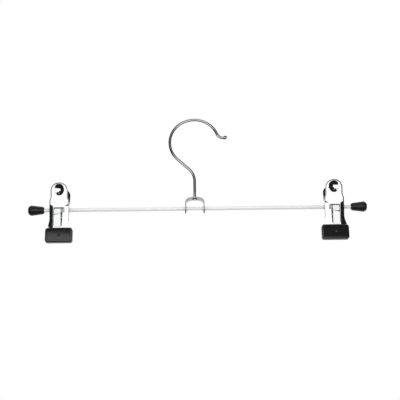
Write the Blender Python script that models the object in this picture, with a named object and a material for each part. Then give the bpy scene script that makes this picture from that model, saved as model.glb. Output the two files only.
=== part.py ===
"""Clip trouser hanger.

A wire hook turns in a folded saddle. The saddle's legs carry a round bar, and two sprung clips
with soft pads slide and swing on the bar, between the saddle and a cap on each end.

The origin is the rail seat, the inner top of the hook. +X runs along the bar, -Y is the front
and +Z is up. Every length is in metres and every angle in degrees.
"""

import math

import bmesh
import bpy
from mathutils import Matrix, Vector

# Clearance between pieces that fit together, how far a cutter runs past what it cuts, and how
# close two points are merged
FIT = 0.0003
OVERRUN = 0.001
MERGE = 0.00001

# Hook: a wire bent to a stem, a sweep to the left, a straight, a ring and a lip with a ball end
WIRE_DIAMETER = 0.003
WIRE_EDGE = 0.0002
RING_RADIUS = 0.0252
RING_ABOVE_BAR = 0.0715
SWEEP_RADIUS = 0.0177
SWEEP_ANGLE = 47.0
LIP_RADIUS = 0.0075
LIP_START_ANGLE = 22.0
LIP_END_ANGLE = 12.3
BALL_DIAMETER = 0.0043
COLLAR_DIAMETER = 0.0042
COLLAR_HEIGHT = 0.0014
HEAD_DIAMETER = 0.0048
HEAD_HEIGHT = 0.0013
BALL_LAST_ANGLE = 12.0
BALL_STEPS = 7

# Saddle: a strip folded to an arch
SADDLE_WIDTH = 0.0197
SADDLE_DEPTH = 0.008
SADDLE_STRIP = 0.0012
SADDLE_TOP = 0.0112
SADDLE_SPRINGING = 0.004
SADDLE_LEG_DROP = 0.005
SADDLE_ROUNDNESS_share = 2.6

# Bar, with a swage between the saddle's legs that keeps it from sliding, and its end caps
BAR_DIAMETER = 0.004
OVERALL_LENGTH = 0.340
BAR_SHIFT = 0.0026
SWAGE_HEIGHT = 0.0033
SWAGE_SPREAD = 0.0045
SWAGE_TAPER = 0.001
SWAGE_LEG_GAP = 0.001
BAR_END_BEVEL = 0.0004
CAP_LENGTH = 0.016
CAP_INNER_DIAMETER = 0.0076
CAP_OUTER_DIAMETER = 0.0106
CAP_INNER_CHAMFER = 0.0015
CAP_OUTER_CHAMFER = 0.0029
CAP_END_WALL = 0.0025
CAP_DOME_HEIGHT = 0.00087
CAP_DOME_DIAMETER = 0.0085
CAP_END_DIAMETER = 0.006
CAP_LEAD = 0.0005

# Clips: where they stand, from each cap's inner end to the clip's side
LEFT_CLIP_GAP = 0.0059
RIGHT_CLIP_GAP = 0.0073

# Clip jaws: sheet stampings with their outer faces leaning out from the pads to the handle tops
SHEET = 0.0008
HANDLE_RISE = 0.0258
HANDLE_HALF_SPREAD = 0.0123
HANDLE_WIDTH = 0.0172
SHOULDER_HEIGHT = 0.0078
SHOULDER_LENGTH = 0.0034
EAR_WALL = 0.0021
EAR_FOOT = 0.0085
RIM_DEPTH = 0.0016
BEND_RADIUS = 0.0014
FLARE_WIDTH = 0.0242
DIMPLE_WIDTH = 0.0104
DIMPLE_HEIGHT = 0.012
DIMPLE_DEPTH = 0.0017
DIMPLE_RING_shares = (1, 0.75, 0.45)
DIMPLE_ABOVE_BAR = 0.0184
WINDOW_WIDTH = 0.0112
WINDOW_TOP = 0.0012
WINDOW_DROP = 0.0172
WINDOW_CORNER = 0.0012

# Clip spring: a strip bent to a hairpin over the bar
SPRING_STRIP = 0.0007
SPRING_WIDTH = 0.0067
SPRING_SHIFT = 0.0016
SPRING_CROWN_RADIUS = 0.0043
SPRING_CROWN_HEIGHT = 0.0046
SPRING_KNEE_DROP = 0.006
SPRING_KNEE_RADIUS = 0.005

# Pads: soft boots over the tongues of the jaws
PAD_TOP_DROP = 0.019
PAD_HEIGHT = 0.0148
PAD_WIDTH = 0.0272
PAD_THICKNESS = 0.00315
PAD_FLOOR = 0.0016
PAD_CORNER = 0.0025
PAD_EDGE = 0.0005
PAD_FRAME = 0.0021
PAD_PANEL_DEPTH = 0.0003
PAD_DIMPLE_DIAMETER = 0.0028
PAD_DIMPLE_DEPTH = 0.0003
PAD_RIB_PITCH = 0.0018
PAD_RIB_DEPTH = 0.00035

# Places that follow from the sizes above
BAR_HEIGHT = WIRE_DIAMETER / 2 - RING_RADIUS - RING_ABOVE_BAR
RING_CENTRE = Vector((0, 0, BAR_HEIGHT + RING_ABOVE_BAR))
LEFT_END = BAR_SHIFT - OVERALL_LENGTH / 2
RIGHT_END = BAR_SHIFT + OVERALL_LENGTH / 2
HANDLE_HALF = HANDLE_WIDTH / 2
BODY_HALF = HANDLE_HALF + SHEET + FIT
LEFT_CLIP = LEFT_END + CAP_LENGTH + LEFT_CLIP_GAP + BODY_HALF
RIGHT_CLIP = RIGHT_END - CAP_LENGTH - RIGHT_CLIP_GAP - BODY_HALF

# The jaw's outer face is a plane. The tongue in the pad stands upright, midway in its thickness.
TONGUE_OUTER = FIT / 2 + PAD_THICKNESS / 2 + SHEET / 2
JAW_LEAN = math.atan2(HANDLE_HALF_SPREAD - TONGUE_OUTER, HANDLE_RISE + PAD_TOP_DROP)
JAW_AT_BAR = TONGUE_OUTER + PAD_TOP_DROP * math.tan(JAW_LEAN)
PIVOT_DEPTH = JAW_AT_BAR * math.cos(JAW_LEAN)
PIVOT_ALONG = -JAW_AT_BAR * math.sin(JAW_LEAN)
EAR_RADIUS = BAR_DIAMETER / 2 + FIT + EAR_WALL
TONGUE_HALF = FLARE_WIDTH / 2 - BEND_RADIUS

# How finely round stretches are stepped
SIDES_TURNED = 28
SIDES_HOLE = 20
STEP_ANGLE = 6.0
SHARP_ANGLE = 35.0


def clear_scene():
    for thing in list(bpy.data.objects):
        bpy.data.objects.remove(thing, do_unlink=True)


def make_material(name, colour, roughness, metallic):
    material = bpy.data.materials.new(name)
    material.use_nodes = True
    shader = material.node_tree.nodes["Principled BSDF"]
    shader.inputs["Base Color"].default_value = (*colour, 1)
    shader.inputs["Roughness"].default_value = roughness
    shader.inputs["Metallic"].default_value = metallic
    material.diffuse_color = (*colour, 1)
    return material


def chrome(name):
    return make_material(name, (0.78, 0.79, 0.80), 0.12, 1.0)


def black_plastic(name):
    return make_material(name, (0.015, 0.015, 0.017), 0.38, 0.0)


def soft_black(name):
    return make_material(name, (0.02, 0.02, 0.022), 0.5, 0.0)


def add_object(name, data, material):
    thing = bpy.data.objects.new(name, data)
    thing.data.materials.append(material)
    bpy.context.scene.collection.objects.link(thing)
    return thing


def mesh_from(bm, name):
    """A mesh of the bmesh, its faces turned out, shaded smooth but for its edges."""
    bmesh.ops.recalc_face_normals(bm, faces=bm.faces[:])
    mesh = bpy.data.meshes.new(name)
    bm.to_mesh(mesh)
    bm.free()
    mesh.shade_smooth()
    mesh.set_sharp_from_angle(angle=math.radians(SHARP_ANGLE))
    return mesh


def arc(centre, radius, start, end, plane_x, plane_y):
    """Points on an arc, both ends included, stepped by STEP_ANGLE or finer."""
    steps = max(2, math.ceil(abs(end - start) / STEP_ANGLE))
    angles = [math.radians(start + (end - start) * i / steps) for i in range(steps + 1)]
    return [
        centre + radius * (math.cos(a) * plane_x + math.sin(a) * plane_y) for a in angles
    ]


def add_ring(bm, points):
    return [bm.verts.new(p) for p in points]


def skin(bm, ring_a, ring_b, closed):
    """Quads between two rings of as many points."""
    count = len(ring_a)
    for i in range(count if closed else count - 1):
        j = (i + 1) % count
        bm.faces.new((ring_a[i], ring_a[j], ring_b[j], ring_b[i]))


def cut(target, cutter, operation="DIFFERENCE"):
    """A live Boolean, with the cutter left out of the model."""
    cutter.hide_render = True
    cutter.display_type = "WIRE"
    cutter.parent = target
    modifier = target.modifiers.new(cutter.name, "BOOLEAN")
    modifier.operation = operation
    modifier.solver = "EXACT"
    modifier.object = cutter
    return modifier


def cylinder(name, radius, length, axis, centre):
    """A cutter: a cylinder along an axis, X or Z, about its centre."""
    bm = bmesh.new()
    bmesh.ops.create_cone(
        bm,
        cap_ends=True,
        segments=SIDES_HOLE,
        radius1=radius,
        radius2=radius,
        depth=length,
    )
    if axis == "X":
        bmesh.ops.rotate(bm, verts=bm.verts[:], matrix=Matrix.Rotation(math.pi / 2, 3, "Y"))
    bmesh.ops.translate(bm, verts=bm.verts[:], vec=centre)
    return add_object(name, mesh_from(bm, name), bpy.data.materials["cutter"])


def block(name, low, high):
    """A cutter: a box between two corners."""
    low, high = Vector(low), Vector(high)
    bm = bmesh.new()
    bmesh.ops.create_cube(bm, size=1)
    bmesh.ops.scale(bm, verts=bm.verts[:], vec=high - low)
    bmesh.ops.translate(bm, verts=bm.verts[:], vec=(low + high) / 2)
    return add_object(name, mesh_from(bm, name), bpy.data.materials["cutter"])


def hook_path():
    """The wire's centre line as (point, radius), from the head under the saddle to the ball."""
    wire = WIRE_DIAMETER / 2
    x, z = Vector((1, 0, 0)), Vector((0, 0, 1))
    edge = WIRE_EDGE
    arch = BAR_HEIGHT + SADDLE_TOP
    head_top = arch - SADDLE_STRIP - FIT
    collar = arch + FIT
    turned = [
        (head_top - HEAD_HEIGHT, wire),
        (head_top - HEAD_HEIGHT + 2 * edge, HEAD_DIAMETER / 2),
        (head_top - edge, HEAD_DIAMETER / 2),
        (head_top, wire),
        (collar, wire),
        (collar + edge, COLLAR_DIAMETER / 2),
        (collar + COLLAR_HEIGHT - 2 * edge, COLLAR_DIAMETER / 2),
        (collar + COLLAR_HEIGHT, wire),
    ]
    path = [(Vector((0, 0, height)), radius) for height, radius in turned]

    # The sweep leaves the stem to the left, and a straight run joins it to the ring
    sweep = math.radians(SWEEP_ANGLE)
    across = RING_RADIUS * math.cos(sweep) - SWEEP_RADIUS * (1 - math.cos(sweep))
    rise = (RING_RADIUS + SWEEP_RADIUS) * math.sin(sweep) + across / math.tan(sweep)
    sweep_centre = RING_CENTRE - Vector((SWEEP_RADIUS, 0, rise))
    bends = arc(sweep_centre, SWEEP_RADIUS, 0, SWEEP_ANGLE, x, z)
    bends += arc(RING_CENTRE, RING_RADIUS, SWEEP_ANGLE + 180, LIP_START_ANGLE, x, z)
    lip = math.radians(LIP_START_ANGLE)
    reach = RING_RADIUS + LIP_RADIUS
    lip_centre = RING_CENTRE + reach * (math.cos(lip) * x + math.sin(lip) * z)
    ball = BALL_DIAMETER / 2
    neck = math.degrees(math.sqrt(ball**2 - wire**2) / LIP_RADIUS)
    lip_end = LIP_END_ANGLE + 270 - neck
    bends += arc(lip_centre, LIP_RADIUS, LIP_START_ANGLE + 180, lip_end, x, z)[1:]
    path += [(point, wire) for point in bends]

    # The ball is a run of growing and shrinking rings along the lip's last direction
    heading = math.radians(LIP_END_ANGLE)
    along = math.cos(heading) * x + math.sin(heading) * z
    ball_centre = lip_centre + LIP_RADIUS * (math.sin(heading) * x - math.cos(heading) * z)
    first = 180 - math.degrees(math.asin(wire / ball))
    for i in range(1, BALL_STEPS + 1):
        angle = math.radians(first - (first - BALL_LAST_ANGLE) * i / BALL_STEPS)
        path.append((ball_centre + ball * math.cos(angle) * along, ball * math.sin(angle)))
    return path


def make_hook(material):
    curve = bpy.data.curves.new("hook", "CURVE")
    curve.dimensions = "3D"
    curve.bevel_depth = WIRE_DIAMETER / 2
    curve.bevel_resolution = 4
    curve.use_fill_caps = True
    curve.twist_mode = "MINIMUM"
    path = hook_path()
    spline = curve.splines.new("POLY")
    spline.points.add(len(path) - 1)
    for point, (place, radius) in zip(spline.points, path):
        point.co = (*place, 1)
        point.radius = radius / curve.bevel_depth
    spline.use_smooth = True
    return add_object("hook", curve, material)


def arch_side(half_width, height):
    """One side of the saddle's outline, from the leg to the middle of the arch."""
    steps = 9
    points = []
    for i in range(steps + 1):
        angle = math.pi / 2 * i / steps
        power = 2 / SADDLE_ROUNDNESS_share
        across = half_width * math.cos(angle) ** power if i < steps else 0
        points.append((across, height * math.sin(angle) ** power))
    return points


def arch_outline(half_width, height):
    """The outline from one leg's foot over the arch to the other's, in X and Z."""
    springing = BAR_HEIGHT + SADDLE_SPRINGING
    foot = BAR_HEIGHT - SADDLE_LEG_DROP
    side = arch_side(half_width, height)
    right = [(half_width, foot)] + [(x, springing + z) for x, z in side]
    left = [(-x, z) for x, z in reversed(right[:-1])]
    return right + left


def make_saddle(material):
    rise = SADDLE_TOP - SADDLE_SPRINGING
    outer = arch_outline(SADDLE_WIDTH / 2, rise)
    inner = arch_outline(SADDLE_WIDTH / 2 - SADDLE_STRIP, rise - SADDLE_STRIP)
    bm = bmesh.new()
    front = [
        add_ring(bm, [(x, -SADDLE_DEPTH / 2, z) for x, z in line]) for line in (outer, inner)
    ]
    skin(bm, front[0], front[1], closed=False)
    grown = bmesh.ops.extrude_face_region(bm, geom=bm.faces[:])
    moved = [v for v in grown["geom"] if isinstance(v, bmesh.types.BMVert)]
    bmesh.ops.translate(bm, verts=moved, vec=(0, SADDLE_DEPTH, 0))
    saddle = add_object("saddle_bracket", mesh_from(bm, "saddle_bracket"), material)

    # Each leg ends round, about a point a leg's drop less half a width below the bar
    bm = bmesh.new()
    half = SADDLE_DEPTH / 2
    turn = Vector((-SADDLE_WIDTH, 0, BAR_HEIGHT - SADDLE_LEG_DROP + half))
    y, z = Vector((0, 1, 0)), Vector((0, 0, 1))
    side = half + OVERRUN
    round_end = arc(turn, half, 180, 360, y, z)
    top = BAR_HEIGHT + SADDLE_TOP + OVERRUN
    shoulders = [
        Vector((turn.x, half, turn.z + OVERRUN)),
        Vector((turn.x, side, turn.z + 2 * OVERRUN)),
        Vector((turn.x, side, top)),
        Vector((turn.x, -side, top)),
        Vector((turn.x, -side, turn.z + 2 * OVERRUN)),
        Vector((turn.x, -half, turn.z + OVERRUN)),
    ]
    face = bm.faces.new(add_ring(bm, round_end + shoulders))
    grown = bmesh.ops.extrude_face_region(bm, geom=[face])
    moved = [v for v in grown["geom"] if isinstance(v, bmesh.types.BMVert)]
    bmesh.ops.translate(bm, verts=moved, vec=(2 * SADDLE_WIDTH, 0, 0))
    keeper = add_object(
        "leg_ends", mesh_from(bm, "leg_ends"), bpy.data.materials["cutter"]
    )
    cut(saddle, keeper, "INTERSECT")
    bar_hole = cylinder(
        "saddle_bar_hole",
        BAR_DIAMETER / 2 + FIT,
        SADDLE_WIDTH + 2 * OVERRUN,
        "X",
        (0, 0, BAR_HEIGHT),
    )
    cut(saddle, bar_hole)
    neck_hole = cylinder(
        "saddle_neck_hole",
        WIRE_DIAMETER / 2 + FIT,
        SADDLE_TOP,
        "Z",
        (0, 0, BAR_HEIGHT + SADDLE_TOP),
    )
    cut(saddle, neck_hole)
    return saddle


def make_bar(material):
    """The rod is round but for the swage, where it is pressed flat and a little wider."""
    round_half = BAR_DIAMETER / 2
    end_bevel = BAR_END_BEVEL
    left = LEFT_END + CAP_END_WALL + FIT
    right = RIGHT_END - CAP_END_WALL - FIT
    flat = SADDLE_WIDTH / 2 - SADDLE_STRIP - SWAGE_LEG_GAP
    stations = [
        (left, round_half - end_bevel, round_half - end_bevel),
        (left + end_bevel, round_half, round_half),
        (-flat, round_half, round_half),
        (-flat + SWAGE_TAPER, SWAGE_SPREAD / 2, SWAGE_HEIGHT / 2),
        (flat - SWAGE_TAPER, SWAGE_SPREAD / 2, SWAGE_HEIGHT / 2),
        (flat, round_half, round_half),
        (right - end_bevel, round_half, round_half),
        (right, round_half - end_bevel, round_half - end_bevel),
    ]
    bm = bmesh.new()
    rings = []
    for along, wide, high in stations:
        angles = [2 * math.pi * i / SIDES_HOLE for i in range(SIDES_HOLE)]
        rings.append(
            add_ring(
                bm,
                [
                    (along, wide * math.cos(a), BAR_HEIGHT + high * math.sin(a))
                    for a in angles
                ],
            )
        )
    for ring_a, ring_b in zip(rings, rings[1:]):
        skin(bm, ring_a, ring_b, closed=True)
    bm.faces.new(rings[0])
    bm.faces.new(rings[-1])
    return add_object("bar", mesh_from(bm, "bar"), material)


def make_cap(name, end, inwards, material):
    """A cap turned about the bar, from the middle of its end wall round to its blind bore."""
    bore = BAR_DIAMETER / 2 + FIT
    profile = [
        (0, 0),
        (0, CAP_END_DIAMETER / 2),
        (CAP_DOME_HEIGHT, CAP_DOME_DIAMETER / 2),
        (CAP_OUTER_CHAMFER, CAP_OUTER_DIAMETER / 2),
        (CAP_LENGTH - CAP_INNER_CHAMFER, CAP_INNER_DIAMETER / 2),
        (CAP_LENGTH, bore + CAP_LEAD),
        (CAP_LENGTH, bore),
        (CAP_END_WALL, bore),
        (CAP_END_WALL, 0),
    ]
    bm = bmesh.new()
    verts = add_ring(bm, [(end + inwards * u, 0, BAR_HEIGHT + r) for u, r in profile])
    edges = [bm.edges.new(pair) for pair in zip(verts, verts[1:])]
    bmesh.ops.spin(
        bm,
        geom=verts + edges,
        cent=(end, 0, BAR_HEIGHT),
        axis=(1, 0, 0),
        angle=2 * math.pi,
        steps=SIDES_TURNED,
        use_merge=True,
    )
    bmesh.ops.remove_doubles(bm, verts=bm.verts[:], dist=MERGE)
    return add_object(name, mesh_from(bm, name), material)


def smooth_step(share):
    share = min(1, max(0, share))
    return (1 - math.cos(math.pi * share)) / 2


class Jaw:
    """A jaw as it is drawn flat: X across, n in from its outer face, s up from the bar's level.

    The two jaws of a clip differ only across their bodies: the rear one keeps the handle's
    width, and the front one steps out so that its ears pass outside the rear one's."""

    def __init__(self, body_half):
        self.body_half = body_half
        self.foot = PIVOT_ALONG - EAR_FOOT
        self.bottom = -(PAD_TOP_DROP - FIT) / math.cos(JAW_LEAN)
        self.top_centre = HANDLE_RISE / math.cos(JAW_LEAN) - HANDLE_HALF
        self.shoulder = SHOULDER_HEIGHT / math.cos(JAW_LEAN)

    def half_width(self, s):
        if s < self.foot:
            share = (self.foot - s) / (self.foot - self.bottom)
            flare = FLARE_WIDTH / 2 - self.body_half
            return self.body_half + flare * (1 - math.cos(math.pi / 2 * share))
        share = (s - self.shoulder) / SHOULDER_LENGTH
        return self.body_half + (HANDLE_HALF - self.body_half) * smooth_step(share)

    def ear_touch(self):
        """Where the ear's straight flank touches its round end, from the pivot along s."""
        drop = PIVOT_DEPTH - RIM_DEPTH
        far = math.hypot(EAR_FOOT, drop)
        turn = math.acos(EAR_RADIUS / far) - math.atan2(drop, EAR_FOOT)
        return EAR_RADIUS * math.cos(turn), PIVOT_DEPTH + EAR_RADIUS * math.sin(turn)

    def depth(self, s):
        """How far in the side's flange reaches: a rim, and the pivot ear about the bar."""
        away = abs(s - PIVOT_ALONG)
        touch, touch_depth = self.ear_touch()
        if away >= EAR_FOOT:
            return RIM_DEPTH
        if away <= touch:
            return PIVOT_DEPTH + math.sqrt(max(0, EAR_RADIUS**2 - away**2))
        share = (away - touch) / (EAR_FOOT - touch)
        return touch_depth + share * (RIM_DEPTH - touch_depth)

    def stations(self):
        """Heights of the side's points, upwards: flare, ear and shoulder."""
        flare = [self.bottom + (self.foot - self.bottom) * i / 5 for i in range(5)]
        touch, _ = self.ear_touch()
        last = math.degrees(math.asin(touch / EAR_RADIUS))
        turns = [math.radians(last * i / 5) for i in range(-5, 6)]
        ear = [PIVOT_ALONG + EAR_RADIUS * math.sin(a) for a in turns]
        feet = [PIVOT_ALONG - EAR_FOOT, PIVOT_ALONG + EAR_FOOT]
        step = [self.shoulder + SHOULDER_LENGTH * i / 4 for i in range(5)]
        return sorted(flare + ear + feet + step)

    def ring(self, inset, depth_of):
        """A line round the jaw from one foot of the flare over the handle to the other."""
        side = [(self.half_width(s) - inset, s) for s in self.stations()]
        steps = 16
        crown = []
        for i in range(steps + 1):
            angle = math.pi * i / steps
            radius = HANDLE_HALF - inset
            crown.append(
                (radius * math.cos(angle), self.top_centre + radius * math.sin(angle))
            )
        left = [(-x, s) for x, s in reversed(side)]
        return [Vector((x, depth_of(s), s)) for x, s in side + crown + left]

    def window(self):
        lean = math.cos(JAW_LEAN)
        corner = WINDOW_CORNER
        half = WINDOW_WIDTH / 2 - corner
        top, bottom = WINDOW_TOP / lean - corner, corner - WINDOW_DROP / lean
        points = []
        for cx, cs, start in (
            (half, top, 0),
            (-half, top, 90),
            (-half, bottom, 180),
            (half, bottom, 270),
        ):
            for turn in (0, 45, 90):
                angle = math.radians(start + turn)
                x = cx + corner * math.cos(angle)
                points.append(Vector((x, 0, cs + corner * math.sin(angle))))
        return points

    def dimple_ring(self, share):
        """An oval of the thumb dimple at a share of its full size, sunk as a bowl."""
        centre = DIMPLE_ABOVE_BAR / math.cos(JAW_LEAN)
        sunk = DIMPLE_DEPTH * (1 - share**2)
        angles = [2 * math.pi * i / 24 for i in range(24)]
        wide, high = share * DIMPLE_WIDTH / 2, share * DIMPLE_HEIGHT / 2
        return [
            Vector((wide * math.cos(a), sunk, centre + high * math.sin(a))) for a in angles
        ]

    def sheet(self, name):
        """The jaw's outer face as an open sheet, standing with the bar at the origin."""
        bm = bmesh.new()
        rings = [add_ring(bm, self.ring(0, self.depth))]

        # The last step but one of the bend is where the leaning jaw stands furthest out
        furthest = math.pi / 2 - JAW_LEAN
        for angle in [furthest * i / 3 for i in range(4)] + [math.pi / 2]:
            inset = BEND_RADIUS * (1 - math.cos(angle))
            depth = BEND_RADIUS * (1 - math.sin(angle))
            rings.append(add_ring(bm, self.ring(inset, lambda s, d=depth: d)))
        for ring_a, ring_b in zip(rings, rings[1:]):
            skin(bm, ring_a, ring_b, closed=False)

        # The flat web, with its window and the dimple's rim left open, is filled as one face
        edge = rings[-1]
        window = add_ring(bm, self.window())
        dimple = [add_ring(bm, self.dimple_ring(share)) for share in DIMPLE_RING_shares]
        bm.faces.new(dimple[-1])
        for ring_a, ring_b in zip(dimple, dimple[1:]):
            skin(bm, ring_a, ring_b, closed=True)
        fill = [bm.edges.get(pair) for pair in zip(edge, edge[1:])]
        foot = bm.edges.new((edge[-1], edge[0]))
        fill.append(foot)
        fill += [bm.edges.new(pair) for pair in zip(window, window[1:] + window[:1])]
        fill += [bm.edges.get(pair) for pair in zip(dimple[0], dimple[0][1:] + dimple[0][:1])]
        bmesh.ops.triangle_fill(bm, use_beauty=True, edges=fill, normal=(0, -1, 0))

        # The tongue folds upright where the sheet enters the pad
        length = PAD_HEIGHT - PAD_FLOOR
        fold = Vector((0, -math.sin(JAW_LEAN), -math.cos(JAW_LEAN)))
        tip = add_ring(bm, [v.co + length * fold for v in (edge[-1], edge[0])])
        bm.faces.new((edge[0], edge[-1], tip[0], tip[1]))
        bmesh.ops.recalc_face_normals(bm, faces=bm.faces[:])
        middle = min(bm.faces, key=lambda f: (f.calc_center_median() - tip[0].co).length)
        if middle.normal.y > 0:
            bmesh.ops.reverse_faces(bm, faces=bm.faces[:])
        lean = Matrix.Rotation(JAW_LEAN, 4, "X")
        place = Matrix.Translation((0, -JAW_AT_BAR, 0))
        bmesh.ops.transform(bm, matrix=place @ lean, verts=bm.verts[:])
        mesh = bpy.data.meshes.new(name)
        bm.to_mesh(mesh)
        bm.free()
        mesh.shade_smooth()
        mesh.set_sharp_from_angle(angle=math.radians(SHARP_ANGLE))
        return mesh


def make_jaw(name, clip, front, material):
    """The front jaw as drawn. The rear one is turned half round about the clip's middle."""
    jaw = Jaw(BODY_HALF if front else HANDLE_HALF)
    thing = add_object(name, jaw.sheet(name), material)
    thing.parent = clip
    wall = thing.modifiers.new("wall", "SOLIDIFY")
    wall.thickness = SHEET
    wall.offset = -1
    wall.use_even_offset = True
    wall.use_rim = True
    hole = cylinder(
        name + "_hole",
        BAR_DIAMETER / 2 + FIT,
        2 * (BODY_HALF + OVERRUN),
        "X",
        (0, 0, 0),
    )
    cut(thing, hole)
    if not front:
        thing.rotation_euler.z = math.pi
    return thing


def spring_line():
    """The strip's centre line on the front side, in Y and Z, from the crown's top to its tip."""
    y, z = Vector((0, 1, 0)), Vector((0, 0, 1))
    crown = arc(Vector((0, 0, SPRING_CROWN_HEIGHT)), SPRING_CROWN_RADIUS, 90, 180, y, z)
    stand_off = (FIT + SPRING_STRIP / 2) / math.cos(JAW_LEAN)

    def outside(height):
        out = JAW_AT_BAR + height * math.tan(JAW_LEAN) + stand_off
        return Vector((0, -out, height))

    # The knee is rounded inside the corner where the two straight runs would meet
    knee = outside(-SPRING_KNEE_DROP)
    tip = outside(FIT + SPRING_STRIP - PAD_TOP_DROP)
    up = (crown[-1] - knee).normalized()
    down = (tip - knee).normalized()
    half_turn = (math.pi - up.angle(down)) / 2
    trim = SPRING_KNEE_RADIUS * math.tan(half_turn)
    inward = (up + down).normalized()
    centre = knee + inward * SPRING_KNEE_RADIUS / math.cos(half_turn)
    start = knee + up * trim
    end = knee + down * trim
    steps = 5
    bend = []
    for i in range(steps + 1):
        spoke = (start - centre).normalized().slerp((end - centre).normalized(), i / steps)
        bend.append(centre + SPRING_KNEE_RADIUS * spoke)
    return crown + bend + [tip]


def make_spring(name, clip, side, material):
    """A hairpin ribbon, given its thickness by a modifier, off centre in the windows."""
    front = spring_line()
    rear = [Vector((0, -p.y, p.z)) for p in reversed(front[1:])]
    bm = bmesh.new()
    middle = side * SPRING_SHIFT
    edges = []
    for offset in (-SPRING_WIDTH / 2, SPRING_WIDTH / 2):
        edges.append(
            add_ring(bm, [p + Vector((middle + offset, 0, 0)) for p in rear + front])
        )
    skin(bm, edges[0], edges[1], closed=False)
    thing = add_object(name, mesh_from(bm, name), material)
    thing.parent = clip
    wall = thing.modifiers.new("strip", "SOLIDIFY")
    wall.thickness = SPRING_STRIP
    wall.offset = 0
    wall.use_even_offset = True
    wall.use_rim = True
    return thing


def pad_outline(inset):
    """The pad's front outline, a box with round corners drawn in by the inset."""
    corner = PAD_CORNER - inset
    half = PAD_WIDTH / 2 - inset - corner
    top = -PAD_TOP_DROP - inset - corner
    bottom = -PAD_TOP_DROP - PAD_HEIGHT + inset + corner
    x, z = Vector((1, 0, 0)), Vector((0, 0, 1))
    points = []
    for cx, cz, start in (
        (half, top, 0),
        (-half, top, 90),
        (-half, bottom, 180),
        (half, bottom, 270),
    ):
        for turn in (0, 30, 60, 90):
            angle = math.radians(start + turn)
            centre = Vector((cx, 0, cz))
            points.append(centre + corner * (math.cos(angle) * x + math.sin(angle) * z))
    return points


def make_pad(name, clip, front, material):
    """A boot: framed panel and dimple outside, ribs on the grip face, a pocket for the tongue."""
    outer = -FIT / 2 - PAD_THICKNESS
    grip = -FIT / 2
    levels = [
        (PAD_EDGE, grip),
        (0, grip - PAD_EDGE),
        (0, outer + PAD_EDGE),
        (PAD_EDGE, outer),
        (PAD_FRAME, outer),
        (PAD_FRAME + PAD_PANEL_DEPTH, outer + PAD_PANEL_DEPTH),
    ]
    bm = bmesh.new()
    rings = []
    for inset, at in levels:
        rings.append(add_ring(bm, [p + Vector((0, at, 0)) for p in pad_outline(inset)]))
    for ring_a, ring_b in zip(rings, rings[1:]):
        skin(bm, ring_a, ring_b, closed=True)
    bm.faces.new(rings[0])
    bm.faces.new(rings[-1])
    thing = add_object(name, mesh_from(bm, name), material)
    thing.parent = clip

    bm = bmesh.new()
    middle = -PAD_TOP_DROP - PAD_HEIGHT / 2
    sunk = outer + PAD_PANEL_DEPTH
    bmesh.ops.create_cone(
        bm,
        cap_ends=True,
        segments=SIDES_HOLE,
        radius1=PAD_DIMPLE_DIAMETER / 2 + PAD_DIMPLE_DEPTH,
        radius2=PAD_DIMPLE_DIAMETER / 2 - PAD_DIMPLE_DEPTH,
        depth=2 * PAD_DIMPLE_DEPTH,
    )
    turn = Matrix.Rotation(-math.pi / 2, 3, "X")
    bmesh.ops.rotate(bm, verts=bm.verts[:], matrix=turn)
    bmesh.ops.translate(bm, verts=bm.verts[:], vec=(0, sunk, middle))
    dimple = add_object(
        name + "_dimple", mesh_from(bm, name + "_dimple"), bpy.data.materials["cutter"]
    )
    cut(thing, dimple)

    # Grooves across the grip face leave a row of ribs
    bm = bmesh.new()
    field = PAD_HEIGHT - 2 * PAD_FRAME
    count = max(1, math.floor(field / PAD_RIB_PITCH))
    reach = PAD_WIDTH / 2 - PAD_FRAME
    for i in range(count):
        height = middle + (i - (count - 1) / 2) * PAD_RIB_PITCH
        notch = [
            (grip + PAD_RIB_DEPTH, height - 2 * PAD_RIB_DEPTH),
            (grip + PAD_RIB_DEPTH, height + 2 * PAD_RIB_DEPTH),
            (grip - PAD_RIB_DEPTH, height),
        ]
        face = bm.faces.new(add_ring(bm, [(-reach, at, high) for at, high in notch]))
        grown = bmesh.ops.extrude_face_region(bm, geom=[face])
        moved = [v for v in grown["geom"] if isinstance(v, bmesh.types.BMVert)]
        bmesh.ops.translate(bm, verts=moved, vec=(2 * reach, 0, 0))
    grooves = add_object(
        name + "_grooves", mesh_from(bm, name + "_grooves"), bpy.data.materials["cutter"]
    )
    cut(thing, grooves)

    tongue_middle = SHEET / 2 - TONGUE_OUTER
    pocket = block(
        name + "_pocket",
        (
            -TONGUE_HALF - FIT,
            tongue_middle - SHEET / 2 - FIT,
            -PAD_TOP_DROP - PAD_HEIGHT + PAD_FLOOR,
        ),
        (TONGUE_HALF + FIT, tongue_middle + SHEET / 2 + FIT, -PAD_TOP_DROP + OVERRUN),
    )
    cut(thing, pocket)
    if not front:
        thing.rotation_euler.z = math.pi
    return thing


def make_clip(label, place, side, steel, spring_steel, rubber):
    """A clip about an empty on the bar's axis, so that it slides and its jaws turn there."""
    clip = bpy.data.objects.new(label + "_clip", None)
    clip.location = (place, 0, BAR_HEIGHT)
    bpy.context.scene.collection.objects.link(clip)
    make_jaw(label + "_clip_front_jaw", clip, True, steel)
    make_jaw(label + "_clip_rear_jaw", clip, False, steel)
    make_spring(label + "_clip_spring", clip, side, spring_steel)
    make_pad(label + "_clip_front_pad", clip, True, rubber)
    make_pad(label + "_clip_rear_pad", clip, False, rubber)


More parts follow.
